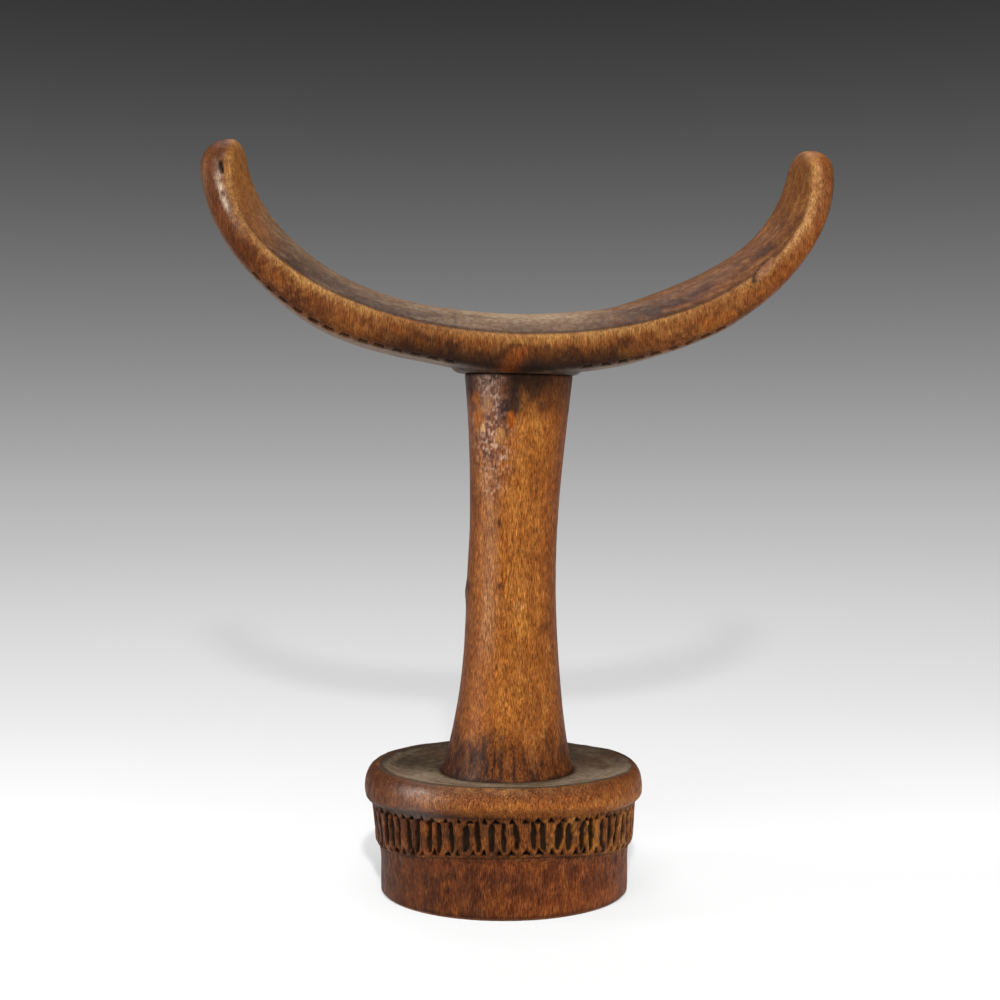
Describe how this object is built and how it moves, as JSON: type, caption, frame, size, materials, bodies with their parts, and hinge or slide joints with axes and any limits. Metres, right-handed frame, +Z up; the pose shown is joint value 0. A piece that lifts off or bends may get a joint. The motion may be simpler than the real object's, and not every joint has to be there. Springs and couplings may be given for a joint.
{
  "type": "wooden headrest",
  "caption": "Carved wooden headrest: crescent neck cradle on a slender waisted round stem and a drum base with a rolled rim and a carved band.",
  "frame": {"origin": "middle of the base's underside, on the surface that the headrest stands on", "axes": "+Z up, +X along the cradle from arm to arm, +Y from the front face to the back face"},
  "size_m": [0.1581, 0.0692, 0.1874],
  "materials": {
    "carved_wood": "hand-rubbed satin patina",
    "wedge_wood": "bare split wood"
  },
  "bodies": {
    "root": {"base": "carved_wood", "stem": "carved_wood", "cradle": "carved_wood", "lower_wedge": "wedge_wood", "upper_wedge": "wedge_wood"}
  },
  "joints": []
}
